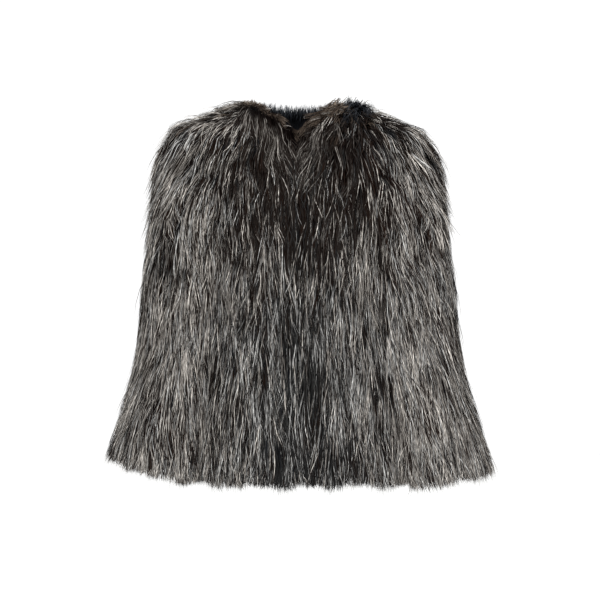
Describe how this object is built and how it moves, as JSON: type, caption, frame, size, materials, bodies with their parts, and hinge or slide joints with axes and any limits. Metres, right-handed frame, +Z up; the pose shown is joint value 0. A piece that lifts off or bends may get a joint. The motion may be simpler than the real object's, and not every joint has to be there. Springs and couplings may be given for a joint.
{
  "type": "fur jacket",
  "caption": "Short collarless jacket of long silvered fur, hollow and filled out as worn, with open front edges that meet, set-in sleeves and an open neck, hem and cuffs.",
  "frame": {"origin": "midway between the two neck points, where the shoulder seams meet the neckline, which is where the wearer's shoulders carry the jacket", "axes": "+Z up, -Y the way the front faces, +X towards the wearer's left"},
  "size_m": [0.5945, 0.3145, 0.605],
  "materials": {
    "front_fur": "long dark pile with silver guard hairs",
    "back_fur": "long dark pile with silver guard hairs",
    "sleeve_fur": "long pile with more silver guard hairs"
  },
  "bodies": {
    "root": {"front_left": "front_fur", "front_right": "front_fur", "back": "back_fur", "sleeve_left": "sleeve_fur", "sleeve_right": "sleeve_fur"}
  },
  "joints": []
}
